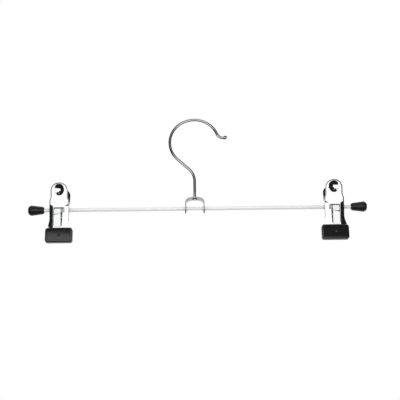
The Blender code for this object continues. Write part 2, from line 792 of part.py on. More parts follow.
def build():
    clear_scene()
    make_material("cutter", (1.0, 0.3, 0.1), 0.5, 0.0)
    steel = chrome("chrome_plate")
    spring_steel = chrome("spring_steel")
    plastic = black_plastic("black_plastic")
    rubber = soft_black("black_soft_vinyl")
    make_hook(steel)
    make_saddle(steel)
    make_bar(steel)
    make_cap("left_end_cap", LEFT_END, 1, plastic)
    make_cap("right_end_cap", RIGHT_END, -1, plastic)
    make_clip("left", LEFT_CLIP, -1, steel, spring_steel, rubber)
    make_clip("right", RIGHT_CLIP, 1, steel, spring_steel, rubber)


build()
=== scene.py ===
"""Looks of the clip trouser hanger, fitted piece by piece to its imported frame."""

import math

import bmesh
import bpy
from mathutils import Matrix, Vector


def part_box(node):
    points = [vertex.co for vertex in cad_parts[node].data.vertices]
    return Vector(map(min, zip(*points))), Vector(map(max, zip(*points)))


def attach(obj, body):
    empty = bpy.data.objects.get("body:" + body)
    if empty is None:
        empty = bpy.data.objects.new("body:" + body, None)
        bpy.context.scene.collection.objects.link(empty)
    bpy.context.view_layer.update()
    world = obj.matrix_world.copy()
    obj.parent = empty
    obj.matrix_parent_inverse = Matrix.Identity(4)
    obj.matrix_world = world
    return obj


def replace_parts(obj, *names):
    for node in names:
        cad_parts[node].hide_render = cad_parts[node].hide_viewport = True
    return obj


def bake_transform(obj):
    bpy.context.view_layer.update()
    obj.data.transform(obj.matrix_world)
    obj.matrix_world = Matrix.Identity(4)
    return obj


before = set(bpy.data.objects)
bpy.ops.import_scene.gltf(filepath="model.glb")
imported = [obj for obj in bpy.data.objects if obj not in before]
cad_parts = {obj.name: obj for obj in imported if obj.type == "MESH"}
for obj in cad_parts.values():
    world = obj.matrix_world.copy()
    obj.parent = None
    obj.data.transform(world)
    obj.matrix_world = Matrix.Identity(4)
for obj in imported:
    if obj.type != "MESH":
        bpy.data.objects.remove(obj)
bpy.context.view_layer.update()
bpy.ops.object.select_all(action="DESELECT")

# Hook. One length of hard steel wire, chrome plated after bending. It is bent to a stem, a
# sweep to the left, a straight, a ring and an outward lip, and ends in a ball. Below, it passes
# through the saddle between a collar and a head riveted over, so that it turns there.
HOOK_WIRE = 0.003
HOOK_SIDES = 32
HOOK_RING_RADIUS = 0.0252
HOOK_SWEEP_RADIUS = 0.0177
HOOK_SWEEP_TURN = math.radians(47.0)
HOOK_LIP_RADIUS = 0.0075
HOOK_LIP_START = math.radians(22.0)
HOOK_LIP_END = math.radians(12.3)
HOOK_BALL = 0.0043
HOOK_COLLAR = 0.0042
HOOK_COLLAR_HEIGHT = 0.0014
HOOK_HEAD = 0.0048
RUNNING_GAP = 0.0003
HOOK_EDGE = 0.0002
HOOK_TURN = math.radians(3.0)
HOOK_BALL_TURN = math.radians(12.0)
HOOK_COLOUR = (0.62, 0.63, 0.64, 1)
SADDLE_STRIP = 0.0012
SCUFF_SCALE = 900.0
SCUFF_DEPTH = 0.0000012
PATCH_DETAIL = 5
PATCH_START = 0.35
PATCH_FULL = 0.75
PIT_DETAIL = 3
CREASE = 35.0
HOOK_CREASE = 50.0
HOOK_PATCHES = 220
HOOK_CLEAN = 0.04
HOOK_DULLED = 0.1
METAL = 1.0


def start_on(piece):
    """Edit mode on one piece, with all of it selected."""
    bpy.ops.object.select_all(action="DESELECT")
    piece.select_set(True)
    bpy.context.view_layer.objects.active = piece
    bpy.ops.object.mode_set(mode="EDIT")
    bpy.ops.mesh.select_all(action="SELECT")


def pick(kind, test):
    """Selects the verts, edges or faces of the piece in edit mode whose verts all pass."""
    bpy.ops.mesh.select_mode(type=kind)
    bpy.ops.mesh.select_all(action="DESELECT")
    work = bmesh.from_edit_mesh(bpy.context.object.data)
    kinds = {"VERT": work.verts, "EDGE": work.edges, "FACE": work.faces}
    for part in kinds[kind]:
        corners = [part] if kind == "VERT" else part.verts
        if all(test(vert.co) for vert in corners):
            part.select_set(True)
    work.select_flush_mode()
    bmesh.update_edit_mesh(bpy.context.object.data)


def picked_middle():
    """The middle of what is selected in edit mode."""
    work = bmesh.from_edit_mesh(bpy.context.object.data)
    places = [vert.co for vert in work.verts if vert.select]
    return sum(places, Vector()) / len(places)


def draw_out(step, swell=1.0):
    """Extrudes the selected faces by a step and swells or shrinks the new end."""
    bpy.ops.mesh.extrude_region_move(TRANSFORM_OT_translate={"value": step})
    if swell != 1.0:
        bpy.ops.transform.resize(value=(swell, swell, swell), center_override=picked_middle())


def finish_shape(piece, crease=CREASE):
    """Out of edit mode, shaded smooth but for creases, with its place in its mesh.

    Wide faces hold their own normals, so that the narrow bends beside them mirror cleanly."""
    if bpy.context.mode == "EDIT_MESH":
        bpy.ops.mesh.select_all(action="SELECT")
        bpy.ops.mesh.normals_make_consistent(inside=False)
        bpy.ops.object.mode_set(mode="OBJECT")
    bpy.ops.object.select_all(action="DESELECT")
    piece.select_set(True)
    bpy.context.view_layer.objects.active = piece
    bpy.ops.object.transform_apply(location=True, rotation=True, scale=True)
    bpy.ops.object.shade_smooth_by_angle(angle=math.radians(crease))
    apply_modifier(piece, "WEIGHTED_NORMAL", keep_sharp=True)
    piece.select_set(False)


def apply_modifier(piece, kind, **settings):
    """Adds a modifier with its settings to a piece and applies it."""
    bpy.context.view_layer.objects.active = piece
    modifier = piece.modifiers.new(kind.lower(), kind)
    for name, value in settings.items():
        setattr(modifier, name, value)
    bpy.ops.object.modifier_apply(modifier=modifier.name)


def make_scuff_group():
    """Handling marks that plated and moulded pieces share: dulled patches, and fine pits."""
    group = bpy.data.node_groups.new("handling_scuffs", "ShaderNodeTree")
    sockets = group.interface
    sockets.new_socket("Vector", in_out="INPUT", socket_type="NodeSocketVector")
    for name in ("Patch Scale", "Clean", "Dulled", "Pit Scale", "Pit Depth"):
        sockets.new_socket(name, in_out="INPUT", socket_type="NodeSocketFloat")
    sockets.new_socket("Roughness", in_out="OUTPUT", socket_type="NodeSocketFloat")
    sockets.new_socket("Normal", in_out="OUTPUT", socket_type="NodeSocketVector")
    nodes, links = group.nodes, group.links
    given = nodes.new("NodeGroupInput")
    made = nodes.new("NodeGroupOutput")
    patches = nodes.new("ShaderNodeTexNoise")
    patches.inputs["Detail"].default_value = PATCH_DETAIL
    links.new(given.outputs["Vector"], patches.inputs["Vector"])
    links.new(given.outputs["Patch Scale"], patches.inputs["Scale"])
    spread = nodes.new("ShaderNodeMapRange")
    spread.inputs["From Min"].default_value = PATCH_START
    spread.inputs["From Max"].default_value = PATCH_FULL
    links.new(patches.outputs["Fac"], spread.inputs["Value"])
    links.new(given.outputs["Clean"], spread.inputs["To Min"])
    links.new(given.outputs["Dulled"], spread.inputs["To Max"])
    links.new(spread.outputs["Result"], made.inputs["Roughness"])
    pits = nodes.new("ShaderNodeTexNoise")
    pits.inputs["Detail"].default_value = PIT_DETAIL
    links.new(given.outputs["Vector"], pits.inputs["Vector"])
    links.new(given.outputs["Pit Scale"], pits.inputs["Scale"])
    dent = nodes.new("ShaderNodeBump")
    dent.inputs["Strength"].default_value = 1
    links.new(given.outputs["Pit Depth"], dent.inputs["Distance"])
    links.new(pits.outputs["Fac"], dent.inputs["Height"])
    links.new(dent.outputs["Normal"], made.inputs["Normal"])
    return group


scuffs = make_scuff_group()


def new_finish(name, colour, metallic, patch_scale, clean, dulled, pit_scale, pit_depth):
    """A material with the shared handling marks. Its colour and metal are set on its shader."""
    material = bpy.data.materials.new(name)
    material.use_nodes = True
    nodes, links = material.node_tree.nodes, material.node_tree.links
    shader = nodes["Principled BSDF"]
    shader.inputs["Base Color"].default_value = colour
    shader.inputs["Metallic"].default_value = metallic
    place = nodes.new("ShaderNodeTexCoord")
    marks = nodes.new("ShaderNodeGroup")
    marks.name = "Marks"
    marks.node_tree = scuffs
    marks.inputs["Patch Scale"].default_value = patch_scale
    marks.inputs["Clean"].default_value = clean
    marks.inputs["Dulled"].default_value = dulled
    marks.inputs["Pit Scale"].default_value = pit_scale
    marks.inputs["Pit Depth"].default_value = pit_depth
    links.new(place.outputs["Object"], marks.inputs["Vector"])
    links.new(marks.outputs["Roughness"], shader.inputs["Roughness"])
    links.new(marks.outputs["Normal"], shader.inputs["Normal"])
    return material


bar_height = (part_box("bar")[0].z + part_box("bar")[1].z) / 2
hook_low, hook_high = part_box("hook")
ring_centre = Vector((0, 0, hook_high.z - HOOK_WIRE / 2 - HOOK_RING_RADIUS))
sweep_across = HOOK_RING_RADIUS * math.cos(HOOK_SWEEP_TURN)
sweep_across -= HOOK_SWEEP_RADIUS * (1 - math.cos(HOOK_SWEEP_TURN))
sweep_rise = (HOOK_RING_RADIUS + HOOK_SWEEP_RADIUS) * math.sin(HOOK_SWEEP_TURN)
sweep_rise += sweep_across / math.tan(HOOK_SWEEP_TURN)
sweep_centre = ring_centre - Vector((HOOK_SWEEP_RADIUS, 0, sweep_rise))
straight = sweep_across / math.sin(HOOK_SWEEP_TURN)
lip_reach = HOOK_RING_RADIUS + HOOK_LIP_RADIUS
lip_out = Vector((math.cos(HOOK_LIP_START), 0, math.sin(HOOK_LIP_START)))
lip_centre = ring_centre + lip_reach * lip_out
ball_neck = math.sqrt(HOOK_BALL**2 - HOOK_WIRE**2) / 2
lip_end = HOOK_LIP_END + 1.5 * math.pi - ball_neck / HOOK_LIP_RADIUS


def bend_wire(centre, turn):
    """Spins the wire's open end about a centre, in the hook's plane, from +X towards +Z."""
    steps = max(2, math.ceil(abs(turn) / HOOK_TURN))
    bpy.ops.mesh.spin(steps=steps, angle=turn, center=centre, axis=(0, 1, 0))


bpy.ops.mesh.primitive_circle_add(
    vertices=HOOK_SIDES, radius=HOOK_WIRE / 2, fill_type="NGON", location=(0, 0, hook_low.z)
)
hook = bpy.context.object
hook.name = "hook_wire"
bpy.ops.object.transform_apply(location=True)
start_on(hook)
bpy.ops.mesh.select_mode(type="FACE")

# The riveted head, the neck through the saddle, the collar and the stem
saddle_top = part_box("saddle_bracket")[1].z
head_top = saddle_top - SADDLE_STRIP - RUNNING_GAP
collar_foot = saddle_top + RUNNING_GAP
profile = [
    (hook_low.z + 2 * HOOK_EDGE, HOOK_HEAD),
    (head_top - HOOK_EDGE, HOOK_HEAD),
    (head_top, HOOK_WIRE),
    (collar_foot, HOOK_WIRE),
    (collar_foot + HOOK_EDGE, HOOK_COLLAR),
    (collar_foot + HOOK_COLLAR_HEIGHT - 2 * HOOK_EDGE, HOOK_COLLAR),
    (collar_foot + HOOK_COLLAR_HEIGHT, HOOK_WIRE),
    (sweep_centre.z, HOOK_WIRE),
]
height, width = hook_low.z, HOOK_WIRE
for next_height, next_width in profile:
    draw_out((0, 0, next_height - height), next_width / width)
    height, width = next_height, next_width
bend_wire(sweep_centre, HOOK_SWEEP_TURN)
draw_out(straight * Vector((-math.sin(HOOK_SWEEP_TURN), 0, math.cos(HOOK_SWEEP_TURN))))
bend_wire(ring_centre, HOOK_LIP_START - math.pi - HOOK_SWEEP_TURN)
bend_wire(lip_centre, lip_end - HOOK_LIP_START - math.pi)

# The ball is drawn out along the lip's end in rings that swell and shrink
heading = Vector((math.cos(HOOK_LIP_END), 0, math.sin(HOOK_LIP_END)))
turn = math.pi - math.asin(HOOK_WIRE / HOOK_BALL)
along, width = HOOK_BALL / 2 * math.cos(turn), HOOK_WIRE
while turn > HOOK_BALL_TURN:
    turn -= HOOK_BALL_TURN
    next_width = HOOK_BALL * math.sin(turn)
    draw_out((HOOK_BALL / 2 * math.cos(turn) - along) * heading, next_width / width)
    along, width = HOOK_BALL / 2 * math.cos(turn), next_width
finish_shape(hook, HOOK_CREASE)
polished = new_finish(
    "polished_chrome_wire",
    HOOK_COLOUR,
    METAL,
    HOOK_PATCHES,
    HOOK_CLEAN,
    HOOK_DULLED,
    SCUFF_SCALE,
    SCUFF_DEPTH,
)
hook.data.materials.append(polished)
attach(hook, "hook")
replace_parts(hook, "hook")

# Saddle. A mild steel strip folded to an arch over the bar, drilled for the hook's neck and
# for the bar, with its legs' ends rounded, then chrome plated.
SADDLE_WIDTH = 0.0197
SADDLE_DEPTH = 0.008
SADDLE_SPRINGING = 0.004
SADDLE_LEG_DROP = 0.005
SADDLE_ROUNDNESS = 2.6
SADDLE_STEPS = 28
SADDLE_EDGE = 0.00018
SADDLE_MERGE = SADDLE_EDGE / 10
SADDLE_HOLE_SIDES = 40
SADDLE_LEG_STEPS = 10
SADDLE_CREASE = 40
SADDLE_PATCHES = 260
SADDLE_CLEAN = 0.1
SADDLE_DULLED = 0.25
SHARP_CORNER = math.radians(50)
SOFTENED_STEPS = 2
SADDLE_COLOUR = (0.32, 0.325, 0.33, 1)
BAR_WIDTH = 0.004

bpy.ops.mesh.primitive_plane_add(
    size=SADDLE_DEPTH,
    location=(-SADDLE_WIDTH / 2, 0, bar_height - SADDLE_LEG_DROP + SADDLE_DEPTH / 2),
    rotation=(0, math.pi / 2, 0),
)
saddle = bpy.context.object
saddle.name = "saddle_arch"
bpy.ops.object.transform_apply(location=True, rotation=True)
start_on(saddle)

# The strip's upper edge is drawn up to the springing, over the arch and down the other leg
springing = bar_height + SADDLE_SPRINGING
arch_rise = saddle_top - springing
leg_top = bar_height - SADDLE_LEG_DROP + SADDLE_DEPTH
line = [Vector((-SADDLE_WIDTH / 2, 0, leg_top))]
for step in range(2 * SADDLE_STEPS + 1):
    angle = math.pi * (1 - step / (2 * SADDLE_STEPS))
    power = 2 / SADDLE_ROUNDNESS
    across = math.copysign(abs(math.cos(angle)) ** power, math.cos(angle))
    up = math.sin(angle) ** power if 0 < step < 2 * SADDLE_STEPS else 0
    line.append(Vector((across * SADDLE_WIDTH / 2, 0, springing + up * arch_rise)))
line.append(Vector((SADDLE_WIDTH / 2, 0, leg_top)))
line.append(Vector((SADDLE_WIDTH / 2, 0, bar_height - SADDLE_LEG_DROP)))
pick("EDGE", lambda co: abs(co.z - leg_top) < SADDLE_EDGE)
for place, next_place in zip(line, line[1:]):
    bpy.ops.mesh.extrude_edges_move(TRANSFORM_OT_translate={"value": next_place - place})
pick("VERT", lambda co: co.z < bar_height - SADDLE_LEG_DROP + SADDLE_EDGE)
bpy.ops.mesh.bevel(
    offset=SADDLE_DEPTH / 2 - SADDLE_MERGE,
    segments=SADDLE_LEG_STEPS,
    affect="VERTICES",
    clamp_overlap=False,
)
bpy.ops.mesh.select_all(action="SELECT")
bpy.ops.mesh.remove_doubles(threshold=SADDLE_MERGE)
bpy.ops.mesh.normals_make_consistent(inside=False)
bpy.ops.object.mode_set(mode="OBJECT")
apply_modifier(saddle, "SOLIDIFY", thickness=SADDLE_STRIP, offset=-1, use_even_offset=True)


def drill(piece, radius, length, location, rotation, sides=SADDLE_HOLE_SIDES):
    """Bores a round hole through a piece with a cylinder, which is then deleted."""
    bpy.ops.mesh.primitive_cylinder_add(
        vertices=sides, radius=radius, depth=length, location=location, rotation=rotation
    )
    bit = bpy.context.object
    apply_modifier(piece, "BOOLEAN", operation="DIFFERENCE", solver="EXACT", object=bit)
    bpy.data.objects.remove(bit, do_unlink=True)


along_bar = (0, math.pi / 2, 0)
drill(saddle, BAR_WIDTH / 2 + RUNNING_GAP, 2 * SADDLE_WIDTH, (0, 0, bar_height), along_bar)
drill(saddle, HOOK_WIRE / 2 + RUNNING_GAP, SADDLE_DEPTH, (0, 0, saddle_top), (0, 0, 0))
apply_modifier(
    saddle,
    "BEVEL",
    width=SADDLE_EDGE,
    segments=SOFTENED_STEPS,
    limit_method="ANGLE",
    angle_limit=SHARP_CORNER,
)
finish_shape(saddle, SADDLE_CREASE)
strip_plate = new_finish(
    "plated_strip",
    SADDLE_COLOUR,
    METAL,
    SADDLE_PATCHES,
    SADDLE_CLEAN,
    SADDLE_DULLED,
    SCUFF_SCALE,
    SCUFF_DEPTH,
)
saddle.data.materials.append(strip_plate)
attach(saddle, "saddle")
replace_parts(saddle, "saddle_bracket")

# Bar. A drawn steel rod with a satin plated finish. Between the saddle's legs it is pressed a
# little flat and wide. Its ends are chamfered, inside the caps.
BAR_SIDES = 48
BAR_CHAMFER = 0.0004
SWAGE_HEIGHT = 0.0033
SWAGE_SPREAD = 0.0045
SWAGE_HALF = 0.00765
SWAGE_TAPER = 0.001
BAR_COLOUR = (0.93, 0.93, 0.94, 1)
BAR_METAL = 0.2
BAR_EDGE_STEPS = 3
BAR_CREASE = 40
BAR_PATCHES = 160
BAR_CLEAN = 0.3
BAR_DULLED = 0.42
BAR_PIT_SCALE = 1500

bar_low, bar_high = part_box("bar")
bpy.ops.mesh.primitive_cylinder_add(
    vertices=BAR_SIDES,
    radius=BAR_WIDTH / 2,
    depth=bar_high.x - bar_low.x,
    location=((bar_low.x + bar_high.x) / 2, 0, bar_height),
    rotation=(0, math.pi / 2, 0),
)
bar = bpy.context.object
bar.name = "bar_rod"
bpy.ops.object.transform_apply(location=True, rotation=True)
start_on(bar)
for place in (-SWAGE_HALF, SWAGE_TAPER - SWAGE_HALF, SWAGE_HALF - SWAGE_TAPER, SWAGE_HALF):
    bpy.ops.mesh.select_all(action="SELECT")
    bpy.ops.mesh.bisect(plane_co=(place, 0, 0), plane_no=(1, 0, 0))
pick("VERT", lambda co: abs(co.x) < SWAGE_HALF - SWAGE_TAPER / 2)
bpy.ops.transform.resize(
    value=(1, SWAGE_SPREAD / BAR_WIDTH, SWAGE_HEIGHT / BAR_WIDTH),
    center_override=(0, 0, bar_height),
)
pick("FACE", lambda co: co.x < bar_low.x + BAR_CHAMFER or co.x > bar_high.x - BAR_CHAMFER)
bpy.ops.mesh.bevel(offset=BAR_CHAMFER, segments=BAR_EDGE_STEPS)
finish_shape(bar, BAR_CREASE)
satin = new_finish(
    "satin_bar",
    BAR_COLOUR,
    BAR_METAL,
    BAR_PATCHES,
    BAR_CLEAN,
    BAR_DULLED,
    BAR_PIT_SCALE,
    SCUFF_DEPTH,
)
bar.data.materials.append(satin)
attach(bar, "bar")
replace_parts(bar, "bar")

# End caps. Moulded in black plastic and pushed on the bar's ends. Each widens outwards to a
# shoulder, and closes with a domed chamfer to a small flat end.
CAP_LENGTH = 0.016
CAP_INNER_WIDTH = 0.0076
CAP_OUTER_WIDTH = 0.0106
CAP_INNER_CHAMFER = 0.0015
CAP_OUTER_CHAMFER = 0.0029
CAP_END_WIDTH = 0.00596
CAP_DOME_WIDTH = 0.00851
CAP_DOME_HEIGHT = 0.00087
CAP_END_WALL = 0.0025
CAP_LEAD = 0.0005
CAP_SIDES = 64
CAP_SOFT_EDGE = 0.00035
CAP_SOFT_STEPS = 4
CAP_SOFT_FROM = math.radians(15)
CAP_CREASE = 40
CAP_COLOUR = (0.012, 0.012, 0.013, 1)
CAP_IOR = 1.5
NO_METAL = 0.0
CAP_PATCHES = 500
CAP_CLEAN = 0.3
CAP_DULLED = 0.46
CAP_PIT_SCALE = 2600
CAP_PIT_DEPTH = 0.00004

moulded = new_finish(
    "moulded_black_plastic",
    CAP_COLOUR,
    NO_METAL,
    CAP_PATCHES,
    CAP_CLEAN,
    CAP_DULLED,
    CAP_PIT_SCALE,
    CAP_PIT_DEPTH,
)
moulded.node_tree.nodes["Principled BSDF"].inputs["IOR"].default_value = CAP_IOR


def make_cap(name, end, inwards):
    """A cap drawn out along the bar from its end face, then bored from the mouth."""
    bpy.ops.mesh.primitive_circle_add(
        vertices=CAP_SIDES,
        radius=CAP_END_WIDTH / 2,
        fill_type="NGON",
        location=(end, 0, bar_height),
        rotation=(0, math.pi / 2, 0),
    )
    cap = bpy.context.object
    cap.name = name
    bpy.ops.object.transform_apply(location=True, rotation=True)
    start_on(cap)
    bpy.ops.mesh.select_mode(type="FACE")
    bore = BAR_WIDTH + 2 * RUNNING_GAP
    profile = [
        (CAP_DOME_HEIGHT, CAP_DOME_WIDTH),
        (CAP_OUTER_CHAMFER, CAP_OUTER_WIDTH),
        (CAP_LENGTH - CAP_INNER_CHAMFER, CAP_INNER_WIDTH),
        (CAP_LENGTH, bore + 2 * CAP_LEAD),
        (CAP_LENGTH, bore),
        (CAP_END_WALL, bore),
    ]
    along, width = 0, CAP_END_WIDTH
    for next_along, next_width in profile:
        draw_out((inwards * (next_along - along), 0, 0), next_width / width)
        along, width = next_along, next_width
    bpy.ops.mesh.select_all(action="SELECT")
    bpy.ops.mesh.normals_make_consistent(inside=False)
    bpy.ops.object.mode_set(mode="OBJECT")
    apply_modifier(
        cap,
        "BEVEL",
        width=CAP_SOFT_EDGE,
        segments=CAP_SOFT_STEPS,
        limit_method="ANGLE",
        angle_limit=CAP_SOFT_FROM,
    )
    finish_shape(cap, CAP_CREASE)
    cap.data.materials.append(moulded)
    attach(cap, "bar")
    return cap


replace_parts(make_cap("left_cap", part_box("left_end_cap")[0].x, 1), "left_end_cap")
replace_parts(make_cap("right_cap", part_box("right_end_cap")[1].x, -1), "right_end_cap")

# Clip jaws. Each is a stamping of 0.8 mm steel, chrome plated: a handle with a round top and a
# thumb dimple, a shoulder, a body with rounded rails beside a window, and a flare down to the
# tongue in the pad. A rim, turned in round all but the foot, widens to ears that turn on the bar.
JAW_SHEET = 0.0008
JAW_HANDLE_WIDTH = 0.0172
JAW_HANDLE_RISE = 0.0258
JAW_HALF_SPREAD = 0.0123
JAW_SHOULDER_HEIGHT = 0.0078
JAW_SHOULDER_LENGTH = 0.0034
JAW_SHOULDER_ROWS = 6
JAW_FLARE_WIDTH = 0.0242
JAW_EAR_WALL = 0.0021
JAW_EAR_FOOT = 0.0085
JAW_RIM = 0.0016
JAW_BEND = 0.0014
JAW_RAIL_TOP = 0.0042
JAW_RAIL_FOOT = 0.0022
JAW_RAIL_ROWS = 4
JAW_RAIL_ROUND = 0.00074
JAW_BEND_STEPS = 9
JAW_FLARE_ROWS = 9
JAW_FLARE_STEP = 1
JAW_SUPPORT = 0.0001
JAW_CROWN_STEPS = 24
JAW_DIMPLE_WIDTH = 0.0104
JAW_DIMPLE_HEIGHT = 0.012
JAW_DIMPLE_DEPTH = 0.0017
JAW_DIMPLE_ABOVE_BAR = 0.0184
JAW_DIMPLE_STEPS = 10
JAW_DIMPLE_SIDES = 64
JAW_DIMPLE_POWER = 1.15
JAW_WINDOW_WIDTH = 0.0112
JAW_WINDOW_TOP = 0.0012
JAW_WINDOW_DROP = 0.0172
JAW_WINDOW_CORNER = 0.0012
JAW_WINDOW_STEPS = 6
JAW_EDGE = 0.00012
JAW_LEVEL = JAW_EDGE / 20
JAW_MERGE = JAW_EDGE / 10
JAW_CROWN_MERGE = JAW_EDGE / 3
JAW_EAR_SPARE = JAW_EDGE / 50
JAW_DIMPLE_SPARE = JAW_SUPPORT / 4
JAW_EAR_STEPS = 16
PAD_TOP_DROP = 0.019
PAD_HEIGHT = 0.0148
PAD_FLOOR = 0.0016
PAD_THICKNESS = 0.00315
JAW_COLOUR = (0.78, 0.785, 0.79, 1)
JAW_PATCHES = 240
JAW_CLEAN = 0.05
JAW_DULLED = 0.14
STAND_CREASE = 40

tongue_outer = RUNNING_GAP / 2 + PAD_THICKNESS / 2 + JAW_SHEET / 2
jaw_lean = math.atan2(JAW_HALF_SPREAD - tongue_outer, JAW_HANDLE_RISE + PAD_TOP_DROP)
jaw_at_bar = tongue_outer + PAD_TOP_DROP * math.tan(jaw_lean)
pivot_depth = jaw_at_bar * math.cos(jaw_lean)
pivot_along = -jaw_at_bar * math.sin(jaw_lean)
ear_radius = BAR_WIDTH / 2 + RUNNING_GAP + JAW_EAR_WALL
ear_drop = pivot_depth - JAW_RIM
ear_turn = math.acos(ear_radius / math.hypot(JAW_EAR_FOOT, ear_drop))
ear_turn -= math.atan2(ear_drop, JAW_EAR_FOOT)
ear_tip = ear_radius * math.tan((math.pi / 2 - ear_turn) / 2)
ear_low, ear_high = pivot_along - JAW_EAR_FOOT, pivot_along + JAW_EAR_FOOT
jaw_foot = (RUNNING_GAP - PAD_TOP_DROP) / math.cos(jaw_lean)
shoulder = JAW_SHOULDER_HEIGHT / math.cos(jaw_lean)
handle_top = JAW_HANDLE_RISE / math.cos(jaw_lean)
rear_half = JAW_HANDLE_WIDTH / 2
front_half = rear_half + JAW_SHEET + RUNNING_GAP


def pick_open(depth):
    """Selects the open edges of the sheet in edit mode that lie at one depth."""
    bpy.ops.mesh.select_mode(type="EDGE")
    bpy.ops.mesh.select_all(action="DESELECT")
    work = bmesh.from_edit_mesh(bpy.context.object.data)
    for edge in work.edges:
        level = all(abs(vert.co.y - depth) < JAW_LEVEL for vert in edge.verts)
        if level and len(edge.link_faces) < 2:
            edge.select_set(True)
    work.select_flush_mode()
    bmesh.update_edit_mesh(bpy.context.object.data)


def pick_level(depth, low, high, side=0):
    """Selects the verts at a depth and between two heights, on one side or both."""
    pick(
        "VERT",
        lambda co: abs(co.y - depth) < JAW_LEVEL
        and low < co.z <= high
        and co.x * side >= 0,
    )


def slide_in(depth, low, high, slide):
    """Moves the verts at a depth and between two heights towards the jaw's middle."""
    for side in (-1, 1):
        pick_level(depth, low, high, side)
        bpy.ops.transform.translate(value=(-side * slide, 0, 0))


def draw_edge(step, place, widen):
    """Extrudes the selected edges by a step and widens the new ones about the middle."""
    bpy.ops.mesh.extrude_edges_move(TRANSFORM_OT_translate={"value": step})
    bpy.ops.transform.resize(value=(widen, 1, 1), center_override=(0, 0, place))


def flare_row(row, half_width):
    """How high a row of the flare lies, and how much wider than the body it is on each side."""
    share = row / JAW_FLARE_ROWS
    ease = 1 - math.cos(math.pi / 2 * share)
    return ear_low - (ear_low - jaw_foot) * share, (JAW_FLARE_WIDTH / 2 - half_width) * ease


def cut_blank(half_width):
    """The flat blank's outline as one face, at the depth where the bend starts."""
    bpy.ops.mesh.primitive_plane_add(
        size=1,
        location=(0, JAW_BEND, (ear_low + JAW_RAIL_FOOT) / 2),
        rotation=(math.pi / 2, 0, 0),
    )
    jaw = bpy.context.object
    jaw.scale = (2 * half_width, JAW_RAIL_FOOT - ear_low, 1)
    bpy.ops.object.transform_apply(location=True, rotation=True, scale=True)
    start_on(jaw)

    # Up past the rails' top and over the shoulder to the handle
    pick("EDGE", lambda co: co.z > JAW_RAIL_FOOT - JAW_EDGE)
    for row in range(JAW_RAIL_ROWS):
        draw_edge((0, 0, (JAW_RAIL_TOP - JAW_RAIL_FOOT) / JAW_RAIL_ROWS), 0, 1)
    draw_edge((0, 0, ear_high - JAW_RAIL_TOP), 0, 1)
    draw_edge((0, 0, shoulder - ear_high), 0, 1)
    rows, at, half = JAW_SHOULDER_ROWS, shoulder, half_width
    for row in range(1, rows + 1):
        next_at = shoulder + JAW_SHOULDER_LENGTH * row / rows
        ease = (1 - math.cos(math.pi * row / rows)) / 2
        next_half = half_width + (JAW_HANDLE_WIDTH / 2 - half_width) * ease
        draw_edge((0, 0, next_at - at), next_at, next_half / half)
        at, half = next_at, next_half
    draw_edge((0, 0, handle_top - at), handle_top, 1)

    # Down the flare to the foot
    pick("EDGE", lambda co: co.z < ear_low + JAW_EDGE)
    at, half = ear_low, half_width
    for row in range(1, JAW_FLARE_ROWS + 1):
        next_at, widening = flare_row(row, half_width)
        next_half = half_width + widening
        draw_edge((0, 0, next_at - at), next_at, next_half / half)
        at, half = next_at, next_half
    bpy.ops.mesh.select_all(action="SELECT")
    bpy.ops.mesh.dissolve_faces(use_verts=False)
    pick("VERT", lambda co: co.z > handle_top - JAW_EDGE)
    bpy.ops.mesh.bevel(
        offset=JAW_HANDLE_WIDTH / 2 - JAW_MERGE,
        segments=JAW_CROWN_STEPS,
        affect="VERTICES",
        clamp_overlap=False,
    )
    bpy.ops.mesh.remove_doubles(threshold=JAW_CROWN_MERGE)
    pick("FACE", lambda co: True)
    return jaw


def rail_inset(depth, reach):
    """How far a rail has come in from the side where its face is this deep under the web.

    It is round at the side, and slopes from there to the web at its whole reach."""
    run = reach - JAW_RAIL_ROUND
    slope = math.atan2(JAW_BEND, run) - math.asin(JAW_RAIL_ROUND / math.hypot(run, JAW_BEND))
    fall = JAW_BEND - depth
    if fall < JAW_RAIL_ROUND * math.cos(slope):
        return JAW_RAIL_ROUND - math.sqrt(JAW_RAIL_ROUND**2 - fall**2)
    return reach - depth / math.tan(slope)


